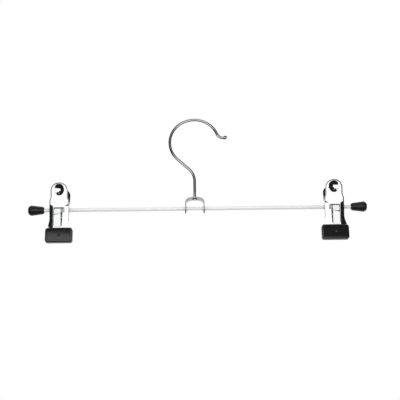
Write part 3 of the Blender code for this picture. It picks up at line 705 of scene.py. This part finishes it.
def turn_rim(half_width):
    """Rounds the blank over its rim, and slopes it up to the web along the window's rails."""
    crown_centre = handle_top - JAW_HANDLE_WIDTH / 2
    reach = half_width - JAW_WINDOW_WIDTH / 2 - 2 * JAW_SUPPORT
    row_height = (JAW_RAIL_TOP - JAW_RAIL_FOOT) / JAW_RAIL_ROWS
    quarter = math.pi / 2 / JAW_BEND_STEPS
    for step in range(JAW_BEND_STEPS):
        near, far = step * quarter, (step + 1) * quarter
        above, depth = JAW_BEND * (1 - math.sin(near)), JAW_BEND * (1 - math.sin(far))
        round_slide = JAW_BEND * (math.cos(near) - math.cos(far))
        rail_slide = rail_inset(depth, reach) - rail_inset(above, reach)
        bpy.ops.mesh.extrude_region_move(
            TRANSFORM_OT_translate={"value": (0, depth - above, 0)}
        )

        # The crown shrinks, and each row of the sides slides in, further beside the window
        radius = JAW_HANDLE_WIDTH / 2 - JAW_BEND * (1 - math.cos(near))
        pick_level(depth, crown_centre - JAW_EDGE, handle_top + JAW_EDGE)
        shrink = 1 - round_slide / radius
        bpy.ops.transform.resize(
            value=(shrink, 1, shrink), center_override=(0, depth, crown_centre)
        )
        low, high = jaw_foot - JAW_EDGE, JAW_RAIL_FOOT + row_height / 2
        for row in range(JAW_RAIL_ROWS + 1):
            ease = (1 + math.cos(math.pi * row / JAW_RAIL_ROWS)) / 2
            slide_in(depth, low, high, round_slide + ease * (rail_slide - round_slide))
            low, high = high, high + row_height
            if row == JAW_RAIL_ROWS - 1:
                high = crown_centre - JAW_EDGE

        # The flare spreads out as a flat rim, so its bend keeps in line with the rails
        if step == JAW_FLARE_STEP:
            for row in range(1, JAW_FLARE_ROWS + 1):
                at, widening = flare_row(row, half_width)
                slide_in(depth, at - JAW_EDGE, at + JAW_EDGE, widening)
        pick("FACE", lambda co: abs(co.y - depth) < JAW_LEVEL)
    bpy.ops.mesh.inset(thickness=JAW_SUPPORT, depth=0)
    bpy.ops.mesh.delete(type="ONLY_FACE")
    pick("FACE", lambda co: abs(co.y - JAW_BEND) < JAW_LEVEL)
    bpy.ops.mesh.delete(type="ONLY_FACE")


def fill_web():
    """Draws the window and the dimple in the web, fills round them and sinks the dimple."""
    tall = (JAW_WINDOW_TOP + JAW_WINDOW_DROP) / math.cos(jaw_lean)
    middle = (JAW_WINDOW_TOP - JAW_WINDOW_DROP) / 2 / math.cos(jaw_lean)
    bpy.ops.mesh.select_all(action="DESELECT")
    bpy.ops.mesh.primitive_plane_add(size=1, location=(0, 0, 0), rotation=(math.pi / 2, 0, 0))
    bpy.ops.transform.resize(value=(JAW_WINDOW_WIDTH, 1, tall), center_override=(0, 0, 0))
    bpy.ops.transform.translate(value=(0, 0, middle))
    bpy.ops.mesh.bevel(offset=JAW_WINDOW_CORNER, segments=JAW_WINDOW_STEPS, affect="VERTICES")
    bpy.ops.mesh.delete(type="ONLY_FACE")
    centre = (0, 0, JAW_DIMPLE_ABOVE_BAR / math.cos(jaw_lean))
    bpy.ops.mesh.primitive_circle_add(
        vertices=JAW_DIMPLE_SIDES,
        radius=JAW_DIMPLE_WIDTH / 2,
        location=centre,
        rotation=(math.pi / 2, 0, 0),
    )
    tallness = JAW_DIMPLE_HEIGHT / JAW_DIMPLE_WIDTH
    bpy.ops.transform.resize(value=(1, 1, tallness), center_override=centre)
    pick_open(0)
    bpy.ops.mesh.fill(use_beauty=True)

    # The bowl sinks in rings of falling size
    reach = JAW_DIMPLE_WIDTH / 2 + JAW_DIMPLE_SPARE
    pick("EDGE", lambda co: math.hypot(co.x, (co.z - centre[2]) / tallness) < reach)
    share, sunk = 1, 0
    for step in range(1, JAW_DIMPLE_STEPS):
        next_share = 1 - step / JAW_DIMPLE_STEPS
        next_sunk = JAW_DIMPLE_DEPTH * (1 - next_share**2) ** JAW_DIMPLE_POWER
        bpy.ops.mesh.extrude_edges_move(
            TRANSFORM_OT_translate={"value": (0, next_sunk - sunk, 0)}
        )
        shrink = next_share / share
        bpy.ops.transform.resize(value=(shrink, 1, shrink), center_override=centre)
        share, sunk = next_share, next_sunk
    bpy.ops.mesh.edge_face_add()


def stamp_jaw(name, half_width):
    """A whole jaw about a bar at the origin, its outer face towards -Y."""
    jaw = cut_blank(half_width)
    turn_rim(half_width)
    fill_web()

    # The rim is open at the foot, where the sheet folds down to the tongue
    pick("FACE", lambda co: abs(co.z - jaw_foot) < JAW_LEVEL)
    bpy.ops.mesh.delete(type="FACE")
    pick("EDGE", lambda co: abs(co.z - jaw_foot) < JAW_LEVEL and co.y < JAW_LEVEL)
    fold = Vector((0, -math.sin(jaw_lean), -math.cos(jaw_lean)))
    tongue = (PAD_HEIGHT - PAD_FLOOR) * fold
    bpy.ops.mesh.extrude_edges_move(TRANSFORM_OT_translate={"value": tongue})

    # The rim stands in from the bend, and an ear grows from each side of it
    pick_open(JAW_BEND)
    bpy.ops.mesh.extrude_edges_move(
        TRANSFORM_OT_translate={"value": (0, JAW_RIM - JAW_BEND, 0)}
    )
    pick_level(JAW_RIM, ear_low + JAW_EDGE, ear_high - JAW_EDGE)
    bpy.ops.mesh.dissolve_verts()
    pick(
        "EDGE",
        lambda co: abs(co.y - JAW_RIM) < JAW_LEVEL
        and ear_low - JAW_EDGE < co.z < ear_high + JAW_EDGE,
    )
    far = pivot_depth + ear_radius
    bpy.ops.mesh.extrude_edges_move(TRANSFORM_OT_translate={"value": (0, far - JAW_RIM, 0)})
    bpy.ops.transform.resize(
        value=(1, 1, ear_tip / JAW_EAR_FOOT), center_override=(0, 0, pivot_along)
    )
    bpy.ops.mesh.select_mode(type="VERT")
    bpy.ops.mesh.bevel(
        offset=ear_tip - JAW_EAR_SPARE,
        segments=JAW_EAR_STEPS,
        affect="VERTICES",
        clamp_overlap=False,
    )
    bpy.ops.mesh.select_all(action="SELECT")
    bpy.ops.mesh.remove_doubles(threshold=JAW_MERGE)
    bpy.ops.mesh.normals_make_consistent(inside=False)
    work = bmesh.from_edit_mesh(jaw.data)
    tongue_face = min(work.faces, key=lambda face: face.calc_center_median().z)
    if tongue_face.normal.y > 0:
        bpy.ops.mesh.flip_normals()
    bpy.ops.object.mode_set(mode="OBJECT")
    apply_modifier(jaw, "SOLIDIFY", thickness=JAW_SHEET, offset=-1, use_even_offset=True)
    jaw.rotation_euler.x = jaw_lean
    jaw.location.y = -jaw_at_bar
    finish_shape(jaw)
    drill(jaw, BAR_WIDTH / 2 + RUNNING_GAP, 4 * half_width, (0, 0, 0), along_bar)
    apply_modifier(
        jaw,
        "BEVEL",
        width=JAW_EDGE,
        segments=SOFTENED_STEPS,
        limit_method="ANGLE",
        angle_limit=SHARP_CORNER,
    )
    jaw.name = name
    return jaw


def stand_at(piece, place, turned=False, crease=STAND_CREASE):
    """Places a finished piece in the frame, turned half round if it stands at the rear."""
    piece.location = place
    if turned:
        piece.rotation_euler.z = math.pi
    finish_shape(piece, crease)
    return piece


def copy_of(piece, name):
    """A copy with its own mesh."""
    twin = piece.copy()
    twin.data = piece.data.copy()
    twin.name = name
    bpy.context.scene.collection.objects.link(twin)
    return twin


stamped = new_finish(
    "stamped_chrome",
    JAW_COLOUR,
    METAL,
    JAW_PATCHES,
    JAW_CLEAN,
    JAW_DULLED,
    SCUFF_SCALE,
    SCUFF_DEPTH,
)
clip_places = {}
for side in ("left", "right"):
    low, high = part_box(side + "_clip_front_jaw")
    clip_places[side] = Vector(((low.x + high.x) / 2, 0, bar_height))
front_stamping = stamp_jaw("front_stamping", front_half)
rear_stamping = stamp_jaw("rear_stamping", rear_half)
for stamping in (front_stamping, rear_stamping):
    stamping.data.materials.append(stamped)
for side, place in clip_places.items():
    for end, stamping in (("front", front_stamping), ("rear", rear_stamping)):
        jaw = stand_at(copy_of(stamping, f"{side}_{end}_stamping"), place, end == "rear")
        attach(jaw, f"{side}_{end}_jaw")
        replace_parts(jaw, f"{side}_clip_{end}_jaw")
bpy.data.objects.remove(front_stamping, do_unlink=True)
bpy.data.objects.remove(rear_stamping, do_unlink=True)

# Clip springs. A strip of plated spring steel lies as a hairpin over the bar. Its two legs pass
# down inside the jaws, out through the windows above the pads and press on the jaws' tongues.
SPRING_STRIP = 0.0007
SPRING_WIDTH = 0.0067
SPRING_SHIFT = 0.0016
SPRING_CROWN_RADIUS = 0.0043
SPRING_CROWN_RISE = 0.0046
SPRING_KNEE_DROP = 0.006
SPRING_KNEE_RADIUS = 0.003
SPRING_CROWN_STEPS = 14
SPRING_KNEE_STEPS = 10
SPRING_EDGE = 0.0001
SPRING_COLOUR = (0.72, 0.725, 0.73, 1)
SPRING_PATCHES = 300
SPRING_CLEAN = 0.05
SPRING_DULLED = 0.1

crown = Vector((0, 0, SPRING_CROWN_RISE))
crown_top = SPRING_CROWN_RISE + SPRING_CROWN_RADIUS
stand_off = (RUNNING_GAP + SPRING_STRIP / 2) / math.cos(jaw_lean)


def outside(height):
    """How far out a spring's leg lies outside the leaning jaw at a height over the bar."""
    return jaw_at_bar + height * math.tan(jaw_lean) + stand_off


def bend_spring():
    """The front leg of a spring about a bar at the origin, from the crown's top to the tip."""
    bpy.ops.mesh.primitive_plane_add(size=SPRING_WIDTH, location=(0, SPRING_WIDTH / 2, crown_top))
    leg = bpy.context.object
    bpy.ops.object.transform_apply(location=True)
    start_on(leg)
    pick("VERT", lambda co: co.y > SPRING_EDGE)
    bpy.ops.mesh.delete(type="VERT")
    pick("EDGE", lambda co: True)
    bpy.ops.mesh.spin(
        steps=SPRING_CROWN_STEPS, angle=-math.pi / 2, center=crown, axis=(1, 0, 0)
    )

    # Straight from the crown to the knee, round the knee, then down along the jaw
    down = Vector((0, -SPRING_CROWN_RADIUS, SPRING_CROWN_RISE))
    knee = Vector((0, -outside(-SPRING_KNEE_DROP), -SPRING_KNEE_DROP))
    tip_height = RUNNING_GAP + SPRING_STRIP - PAD_TOP_DROP
    tip = Vector((0, -outside(tip_height), tip_height))
    into, out = (knee - down).normalized(), (tip - knee).normalized()
    turn = into.angle(out)
    setback = SPRING_KNEE_RADIUS * math.tan(turn / 2)
    near, far = knee - setback * into, knee + setback * out
    square = Vector((0, into.z, -into.y))
    if square.dot(out) < 0:
        square = -square
    bpy.ops.mesh.extrude_edges_move(TRANSFORM_OT_translate={"value": near - down})
    bpy.ops.mesh.spin(
        steps=SPRING_KNEE_STEPS,
        angle=-math.copysign(turn, into.cross(out).x),
        center=near + SPRING_KNEE_RADIUS * square,
        axis=(1, 0, 0),
    )
    bpy.ops.mesh.extrude_edges_move(TRANSFORM_OT_translate={"value": tip - far})
    bpy.ops.mesh.select_all(action="SELECT")
    bpy.ops.mesh.subdivide(number_cuts=1)
    bpy.ops.object.mode_set(mode="OBJECT")
    apply_modifier(leg, "SOLIDIFY", thickness=SPRING_STRIP, offset=0, use_even_offset=True)
    apply_modifier(
        leg,
        "BEVEL",
        width=SPRING_EDGE,
        segments=SOFTENED_STEPS,
        limit_method="ANGLE",
        angle_limit=SHARP_CORNER,
    )
    return leg


rolled = new_finish(
    "spring_strip",
    SPRING_COLOUR,
    METAL,
    SPRING_PATCHES,
    SPRING_CLEAN,
    SPRING_DULLED,
    SCUFF_SCALE,
    SCUFF_DEPTH,
)
leg = bend_spring()
leg.data.materials.append(rolled)
for side, place in clip_places.items():
    outwards = -1 if side == "left" else 1
    strip_place = place + Vector((outwards * SPRING_SHIFT, 0, 0))
    for end in ("front", "rear"):
        half = stand_at(copy_of(leg, f"{side}_{end}_leg"), strip_place, end == "rear")
        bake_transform(half)
        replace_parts(half, side + "_clip_spring")
bpy.data.objects.remove(leg, do_unlink=True)

# Clip pads. Soft black vinyl boots over the jaws' tongues: a frame round a slightly recessed
# panel with a small round dimple outside, and grip ribs across the meeting faces inside.
PAD_WIDTH = 0.0272
PAD_CORNER = 0.0025
PAD_CORNER_STEPS = 8
PAD_EDGE = 0.0005
PAD_LEVEL = PAD_EDGE / 10
PAD_EDGE_STEPS = 4
PAD_FACE_EDGE = 0.0013
PAD_FACE_STEPS = 8
PAD_FRAME = 0.0021
PAD_PANEL_DEPTH = 0.0003
PAD_PANEL_EASE = 0.0003
PAD_DIMPLE_WIDTH = 0.0034
PAD_DIMPLE_DEPTH = 0.00045
PAD_DIMPLE_SIDES = 48
PAD_CREASE = 25
PAD_RIB_PITCH = 0.0018
PAD_RIB_DEPTH = 0.00035
PAD_RIB_SIDES = 16
PAD_PATCHES = 380
PAD_COLOUR = (0.012, 0.012, 0.013, 1)
PAD_IOR = 1.5
PAD_GLOSS = 0.75
PAD_CLEAN = 0.07
PAD_DULLED = 0.14
PAD_PIT_SCALE = 2200.0
PAD_PIT_DEPTH = 0.000002

pad_outer = RUNNING_GAP / 2 + PAD_THICKNESS
pad_edge_at = pad_outer - PAD_FACE_EDGE
dimple_ball = ((PAD_DIMPLE_WIDTH / 2) ** 2 + PAD_DIMPLE_DEPTH**2) / (2 * PAD_DIMPLE_DEPTH)


def mould_pad(name):
    """A pad about a bar at the origin, its outer face towards -Y and its top under the jaw."""
    middle = (0, -(RUNNING_GAP / 2 + pad_edge_at) / 2, -PAD_TOP_DROP - PAD_HEIGHT / 2)
    bpy.ops.mesh.primitive_cube_add(size=1, location=middle)
    pad = bpy.context.object
    pad.name = name
    pad.scale = (PAD_WIDTH, pad_edge_at - RUNNING_GAP / 2, PAD_HEIGHT)
    bpy.ops.object.transform_apply(location=True, rotation=True, scale=True)
    start_on(pad)
    upright = PAD_WIDTH / 2 - PAD_EDGE
    bpy.ops.mesh.select_mode(type="EDGE")
    bpy.ops.mesh.select_all(action="DESELECT")
    work = bmesh.from_edit_mesh(pad.data)
    for edge in work.edges:
        run = edge.verts[0].co - edge.verts[1].co
        if abs(run.y) > PAD_EDGE and abs(edge.verts[0].co.x) > upright:
            edge.select_set(True)
    bmesh.update_edit_mesh(pad.data)
    bpy.ops.mesh.bevel(offset=PAD_CORNER, segments=PAD_CORNER_STEPS)
    pick("FACE", lambda co: abs(co.y + RUNNING_GAP / 2) < PAD_LEVEL)
    bpy.ops.mesh.region_to_loop()
    bpy.ops.mesh.bevel(offset=PAD_EDGE, segments=PAD_EDGE_STEPS)

    # The outer face rounds in over its edge, lies flat as a frame and sinks to the panel
    pick("FACE", lambda co: abs(co.y + pad_edge_at) < PAD_LEVEL)
    quarter = math.pi / 2 / PAD_FACE_STEPS
    for step in range(PAD_FACE_STEPS):
        near, far = step * quarter, (step + 1) * quarter
        bpy.ops.mesh.inset(
            thickness=PAD_FACE_EDGE * (math.cos(near) - math.cos(far)),
            depth=PAD_FACE_EDGE * (math.sin(far) - math.sin(near)),
        )
    bpy.ops.mesh.inset(thickness=PAD_FRAME - PAD_FACE_EDGE, depth=0)
    bpy.ops.mesh.inset(thickness=PAD_PANEL_EASE, depth=-PAD_PANEL_DEPTH)
    bpy.ops.object.mode_set(mode="OBJECT")

    # The round dimple in the panel, and the grooves between the grip ribs
    panel_at = pad_outer - PAD_PANEL_DEPTH
    bpy.ops.mesh.primitive_uv_sphere_add(
        segments=PAD_DIMPLE_SIDES,
        ring_count=PAD_DIMPLE_SIDES,
        radius=dimple_ball,
        location=(0, PAD_DIMPLE_DEPTH - panel_at - dimple_ball, middle[2]),
        rotation=(math.pi / 2, 0, 0),
    )
    ball = bpy.context.object
    apply_modifier(pad, "BOOLEAN", operation="DIFFERENCE", solver="EXACT", object=ball)
    bpy.data.objects.remove(ball, do_unlink=True)
    ribs = int((PAD_HEIGHT - 2 * PAD_FRAME) / PAD_RIB_PITCH)
    for rib in range(ribs + 1):
        at = middle[2] + (rib - ribs / 2) * PAD_RIB_PITCH
        place = (0, PAD_RIB_DEPTH - RUNNING_GAP / 2, at)
        drill(pad, PAD_RIB_DEPTH * 2, 2 * PAD_WIDTH, place, along_bar, PAD_RIB_SIDES)
    return pad


vinyl = new_finish(
    "scuffed_vinyl",
    PAD_COLOUR,
    NO_METAL,
    PAD_PATCHES,
    PAD_CLEAN,
    PAD_DULLED,
    PAD_PIT_SCALE,
    PAD_PIT_DEPTH,
)
vinyl.node_tree.nodes["Principled BSDF"].inputs["IOR"].default_value = PAD_IOR
vinyl.node_tree.nodes["Principled BSDF"].inputs["Specular IOR Level"].default_value = PAD_GLOSS
for side, place in clip_places.items():
    for end in ("front", "rear"):
        pad = stand_at(mould_pad(f"{side}_{end}_boot"), place, end == "rear", PAD_CREASE)
        pad.data.materials.append(vinyl)
        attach(pad, f"{side}_{end}_jaw")
        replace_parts(pad, f"{side}_clip_{end}_pad")

# Camera. The photograph looks up at the hanger from 18 degrees below, square to its front,
# from 850 mm off, and rolled a little. The lens gives its scale in a 400 pixel frame.
CAMERA_DISTANCE = 0.850
CAMERA_PITCH = math.radians(18)
CAMERA_ROLL = math.radians(0.72)
CAMERA_LENS = 76.05
CAMERA_NEAREST = 0.01
FRAMING_RIGHT = 0.00523
FRAMING_UP = 0.00865

look = Vector((0, math.cos(CAMERA_PITCH), math.sin(CAMERA_PITCH)))
upright = Vector((0, -math.sin(CAMERA_PITCH), math.cos(CAMERA_PITCH)))
aim = Vector((FRAMING_RIGHT, 0, bar_height)) + FRAMING_UP * upright
bpy.ops.object.camera_add(location=aim - CAMERA_DISTANCE * look)
camera = bpy.context.object
camera.data.lens = CAMERA_LENS
camera.data.clip_start = CAMERA_NEAREST
camera.rotation_mode = "QUATERNION"
camera.rotation_quaternion = look.to_track_quat("-Z", "Y")
camera.rotation_mode = "XYZ"
camera.rotation_euler.rotate_axis("Z", -CAMERA_ROLL)
bpy.context.scene.camera = camera

# Studio. A pale floor far below, five soft panels in front, and surroundings that give an even
# light. Glossy surfaces mirror the panels, the white backdrop behind, a light overhead and a
# dim room between them, but not the floor, which would turn the metal's black bands grey.
FLOOR_DROP = 0.6
FLOOR_SIZE = 30
FLOOR_COLOUR = (0.86, 0.86, 0.86, 1)
FLOOR_ROUGHNESS = 0.9
PANEL_AWAY = 0.25
PANELS = (
    # left, right, low, high, tilt in degrees, power in watts
    (-0.27, 0.227, -0.185, -0.0585, 2.95, 0.2525),
    (-0.15, 0.15, -0.068, 0.006, 0, 0.0888),
    (-0.04, 0.04, 0.006, 0.12, 0, 0.024),
    (-0.201, -0.173, 0.048, 0.074, 0, 0.0029),
    (0.173, 0.201, 0.048, 0.074, 0, 0.0029),
)
WHITE = (1, 1, 1, 1)
EVEN_LIGHT = (0.72, 0.72, 0.72, 1)
ROOM_DIM = 0.014
BACKDROP_START = 0.2
BACKDROP_FULL = 0.7
BACKDROP_LIGHT = 1.0
OVERHEAD_START = 0.86
OVERHEAD_FULL = 0.98
OVERHEAD_LIGHT = 0.8

bpy.ops.mesh.primitive_plane_add(size=FLOOR_SIZE, location=(0, 0, -FLOOR_DROP))
floor = bpy.context.object
floor.name = "floor"
floor.visible_glossy = False
paper = bpy.data.materials.new("floor_paper")
paper.use_nodes = True
paper.node_tree.nodes["Principled BSDF"].inputs["Base Color"].default_value = FLOOR_COLOUR
paper.node_tree.nodes["Principled BSDF"].inputs["Roughness"].default_value = FLOOR_ROUGHNESS
floor.data.materials.append(paper)

for left, right, low, high, tilt, power in PANELS:
    bpy.ops.object.light_add(
        type="AREA",
        location=((left + right) / 2, -PANEL_AWAY, (low + high) / 2),
        rotation=(math.pi / 2, math.radians(tilt), 0),
    )
    panel = bpy.context.object
    panel.data.shape = "RECTANGLE"
    panel.data.size = right - left
    panel.data.size_y = high - low
    panel.data.energy = power
    panel.visible_camera = False

world = bpy.data.worlds.new("studio")
bpy.context.scene.world = world
world.use_nodes = True
nodes, links = world.node_tree.nodes, world.node_tree.links
even = nodes["Background"]
even.inputs["Color"].default_value = EVEN_LIGHT
backdrop = nodes.new("ShaderNodeBackground")
backdrop.inputs["Color"].default_value = WHITE
mirrored = nodes.new("ShaderNodeBackground")
direction = nodes.new("ShaderNodeTexCoord")
split = nodes.new("ShaderNodeSeparateXYZ")
links.new(direction.outputs["Generated"], split.inputs[0])
room = nodes.new("ShaderNodeMapRange")
room.interpolation_type = "SMOOTHSTEP"
room.inputs["From Min"].default_value = BACKDROP_START
room.inputs["From Max"].default_value = BACKDROP_FULL
room.inputs["To Min"].default_value = ROOM_DIM
room.inputs["To Max"].default_value = BACKDROP_LIGHT
links.new(split.outputs["Y"], room.inputs["Value"])
overhead = nodes.new("ShaderNodeMapRange")
overhead.interpolation_type = "SMOOTHSTEP"
overhead.inputs["From Min"].default_value = OVERHEAD_START
overhead.inputs["From Max"].default_value = OVERHEAD_FULL
overhead.inputs["To Max"].default_value = OVERHEAD_LIGHT
links.new(split.outputs["Z"], overhead.inputs["Value"])
above = nodes.new("ShaderNodeMath")
links.new(room.outputs["Result"], above.inputs[0])
links.new(overhead.outputs["Result"], above.inputs[1])
links.new(above.outputs["Value"], mirrored.inputs["Color"])
rays = nodes.new("ShaderNodeLightPath")
seen = nodes.new("ShaderNodeMath")
seen.operation = "MAXIMUM"
links.new(rays.outputs["Is Camera Ray"], seen.inputs[0])
links.new(rays.outputs["Is Transmission Ray"], seen.inputs[1])
for_metal = nodes.new("ShaderNodeMixShader")
links.new(rays.outputs["Is Glossy Ray"], for_metal.inputs[0])
links.new(even.outputs[0], for_metal.inputs[1])
links.new(mirrored.outputs[0], for_metal.inputs[2])
for_camera = nodes.new("ShaderNodeMixShader")
links.new(seen.outputs[0], for_camera.inputs[0])
links.new(for_metal.outputs[0], for_camera.inputs[1])
links.new(backdrop.outputs[0], for_camera.inputs[2])
links.new(for_camera.outputs[0], nodes["World Output"].inputs["Surface"])
bpy.context.scene.view_settings.view_transform = "Standard"
